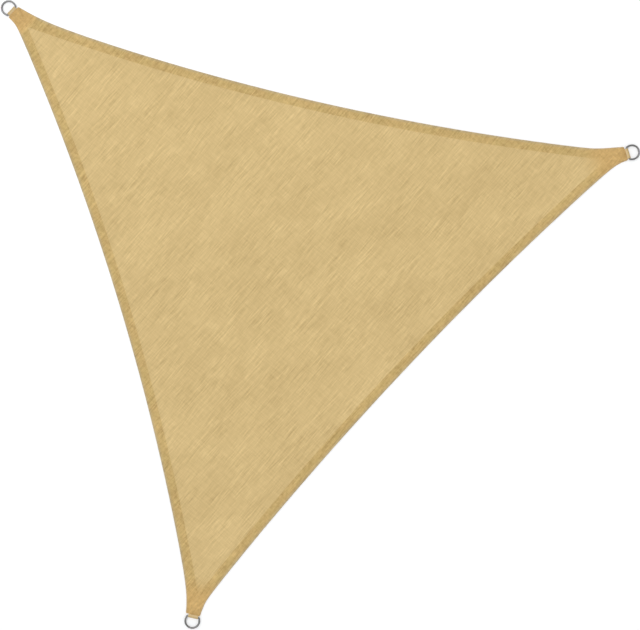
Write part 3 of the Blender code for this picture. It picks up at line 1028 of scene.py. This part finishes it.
uneven = place.grain(*UNEVEN).ramp(0.70, 1.45, 0.35, 0.65)
streaks = (tapes(place) * (1 - SHOWS_THROUGH) + tapes(behind) * SHOWS_THROUGH) * uneven
cross_streaks = place.grain(*CROSS_STREAK) - 0.5
clouds = place.grain(*CLOUD, detail=3.0) - 0.5
gathers = place.grain(*GATHER)
# past the turned edge the seam term spreads painted shade, where the cloth climbs onto the hem beneath it
hem = (layers + (gathers - 0.08) * seam * 1.5).ramp(0.0, 1.0, 1.0, 2.0)
blotches = (place.grain(*BLOTCH, detail=3.0) - 0.5) * hem
# painted light and shade of the puckers beside each inner seam
pucker_light_and_shade = (gathers - 0.49) * seam
marks = cross_streaks * 0.50 + clouds * 0.50 + blotches * 1.1 + pucker_light_and_shade * 1.1
tone = streaks * (hem * 0.50 - tip * 0.45 + 0.96) + marks + 0.5
hem_tint = place.grain(*HEM_PATCH).ramp(0.0, 1.0, 0.35, 0.65).mix(*HEM_TINTS)
# painted shade and painted sky light along the folded edge, mixed with real dust; narrower at the tips
fold_dust_and_shade = (from_fold + tip * 0.003).ramp(1.0, 0.0, 0.0030, 0.0110)
# the cloth is made darker still at a tip's end
darker_mouth = tip.ramp(0.0, 1.0, 1.0, 2.0).mix(WHITE, MOUTH_TINT)
tint = tip.mix(hem.mix(WHITE, hem_tint), TIP_TINT) * fold_dust_and_shade.mix(WHITE, FOLD_TINT) * darker_mouth
surface(cloth, {
    "Base Color": tone.mix(DEEP_SAND, PALE_SAND) * tint * (1.02 - gaps * gaps * 0.24),
    "Roughness": 0.66 + streaks * 0.25 + gaps * 0.2,
    "Specular IOR Level": 0.25,
    "Normal": relief.bump(KNIT_RELIEF),
}, [panel])

# %% [markdown]
# ## Thread, webbing and steel
#
# The thread is twisted, so light and dark follow closely along it. The webbing is woven: each rib is a row
# of warp threads that dips under a weft thread every 1.7 mm, and the next rib dips half a step later.
# Where the webbing goes in under the cloth a painted light lifts the shade of that crease, and where it
# turns over the bar a painted shade darkens it. The rings are steel wire polished along its length, with
# fine lines and a few dull patches, and what makes them steel is mostly what they reflect.

# %% Thread
HEM_THREADS = (0.470, 0.335, 0.140, 1), (0.640, 0.485, 0.235, 1)
TIP_THREADS = (0.240, 0.150, 0.055, 1), (0.370, 0.250, 0.100, 1)  # thicker and darker
for name, colours, seams in (("hem_thread", HEM_THREADS, hem_seams), ("tip_thread", TIP_THREADS, tip_seams)):
    thread, begin = new_finish(name)
    place = begin.node("ShaderNodeTexCoord", {}, {}, "Object")
    twist = place.grain(0.0012, 0.0012, 0.0012)
    fading = place.grain(0.05, 0.05, 0.05)
    surface(thread, {
        "Base Color": (twist * 0.7 + fading * 0.6 - 0.15).mix(*colours),
        "Roughness": 0.45 + twist * 0.3,
        "Normal": twist.bump(0.0001),
    }, seams)

# %% Webbing
CREAM = (0.740, 0.570, 0.312, 1)
DEEP_CREAM = (0.455, 0.318, 0.140, 1)
PICK = 0.0017  # from one weft thread to the next
CREASE = TAIL_END - TIP_DEPTH + 0.0022  # how far along the strap it meets the cloth's mouth
OVER_BAR = lengths_along(strap_line())[-1] / 2 - 0.0040  # and where it turns over the bar
webbing, begin = new_finish("woven_webbing")
place = begin.stored("cut", "Vector")
rib = (place.part("Y") / ((STRAP_WIDTH - STRAP) / RIBS)).floor()
on_rib = place.part("Z").ramp(0.0, 1.0, 0.0, 0.8)
dip = (place.part("X") / PICK + rib * 0.5).zigzag()
fuzz = place.grain(0.0030, 0.0004)
# rib tops are painted lighter than the grooves between them: painted shade of the ribs' relief
weave = dip * 0.40 + on_rib * 0.35 + fuzz * 0.4
age = place.grain(0.020, 0.012)
# painted light lifts the shade in the crease at the cloth's mouth, and painted shade darkens the roll over
# the bar
from_lines = (abs(place.part("X") - where) for where in (CREASE, OVER_BAR))
painted_light_at_mouth, painted_shade_over_bar = (away.ramp(1.0, 0.0, 0.0012, 0.0042) for away in from_lines)
surface(webbing, {
    "Base Color": (weave + age * 0.4 + painted_light_at_mouth * 0.45 - painted_shade_over_bar * 0.44 - 0.33).mix(DEEP_CREAM, CREAM),
    "Roughness": 0.68 + fuzz * 0.2,
    "Specular IOR Level": 0.3,
    "Normal": (dip * on_rib * 0.8 + fuzz * 0.2).bump(0.00050),
}, list(straps.values()))

# %% Steel
STEEL = (0.205, 0.200, 0.197, 1)
DULL_STEEL = (0.132, 0.128, 0.124, 1)
steel, begin = new_finish("polished_steel")
place = begin.stored("cut", "Vector")
polish_lines = place.grain(0.012, 0.00045, detail=3.0)
dull = place.grain(0.009, 0.006).ramp(0.0, 1.0, 0.52, 0.75)
surface(steel, {
    "Base Color": (dull * 0.5 + polish_lines * 0.3).mix(STEEL, DULL_STEEL),
    "Metallic": 1.0,
    "Roughness": 0.22 + polish_lines * 0.12 + dull * 0.14,
    "Normal": polish_lines.bump(0.000025),
}, list(rings.values()))

# %% [markdown]
# ## Ground and light
#
# The sail is seen on white, evenly lit. A pale floor under a soft sky, a low-contrast sun and one large
# cool lamp over the apex do the same: the lamp leaves that corner a little lighter and less yellow. The
# sky is darker overhead than at the horizon, which gives the steel something to reflect.

# %% Floor
FAR = 60
FLOOR_SHADES = (0.915, 0.915, 0.915, 1), (0.930, 0.930, 0.930, 1)
floor_corners = [(-FAR, -FAR, 0), (FAR, -FAR, 0), (FAR, FAR, 0), (-FAR, FAR, 0)]
floor = put(new_mesh("floor", floor_corners, [(0, 1, 2, 3)]))
plaster, begin = new_finish("pale_floor")
place = begin.node("ShaderNodeTexCoord", {}, {}, "Object")
surface(plaster, {
    "Base Color": place.grain(0.4, 0.4, 0.4).mix(*FLOOR_SHADES),
    "Roughness": 0.9,
    "Specular IOR Level": 0.0,
}, [floor])

# %% Sky, sun and lamp
SKY_OVERHEAD, SKY_LOW, SKY_TINT = 0.55, 0.95, (0.99, 1.0, 1.01)
SUN_STRENGTH, SUN_PLACE, SUN_WIDTH = 1.55, (-0.4, 1.4, 4.5), math.radians(55)
LAMP_POWER, LAMP_PLACE, LAMP_AIM = 4.4, (0.15, 1.30, 1.7), (0.15, 0.9, 0)
LAMP_SIZE, LAMP_COLOUR = 1.6, (0.94, 1.0, 1.13)
sky = bpy.data.worlds.new("sky")
sky.use_nodes = True
bpy.context.scene.world = sky
begin = Signal(sky.node_tree)
height = begin.node("ShaderNodeTexCoord", {}, {}, "Generated").part("Z")
daylight = height.ramp(SKY_LOW, SKY_OVERHEAD, 0.0, 0.85) * SKY_TINT
plug(sky.node_tree.nodes["Background"].inputs, {"Color": daylight})


def add_light(name, kind, energy, place, looks_at):
    light = bpy.data.lights.new(name, kind)
    light.energy = energy
    holder = put(light)
    holder.location = place
    holder.rotation_euler = (Vector(looks_at) - Vector(place)).to_track_quat("-Z", "Y").to_euler()
    return light


sun = add_light("sun", "SUN", SUN_STRENGTH, SUN_PLACE, (0, 0, 0))
sun.angle = SUN_WIDTH
lamp = add_light("lamp", "AREA", LAMP_POWER, LAMP_PLACE, LAMP_AIM)
lamp.shape, lamp.size, lamp.color = "DISK", LAMP_SIZE, LAMP_COLOUR
bpy.context.scene.view_settings.view_transform = "Standard"
print("floor, sky, sun and lamp")

# %% [markdown]
# ## Handing the pieces over
#
# Each piece rides on the sail's one body, and the plain solids from model.glb that the pieces take the place
# of are hidden. Last come the boxes of the plain solids and of the finished sail, which must agree.

# %% Pieces and their bodies
seams = hem_seams + tip_seams
sewn_on = [*seams, *straps.values(), *rings.values()]
for piece in [panel, *sewn_on]:
    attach(piece, "root")
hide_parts("sail_cloth")
for piece in [panel, *seams]:
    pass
for name in CORNERS:
    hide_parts(f"webbing_loop_{name}")
    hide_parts(f"d_ring_{name}")
floor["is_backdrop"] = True
print(f"{len(sewn_on) + 1} pieces on one body")

# %% Sizes
boxes = {name: np.array(box).tolist() for name, box in (("cad", cad_box), ("visual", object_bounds()))}
print(boxes)
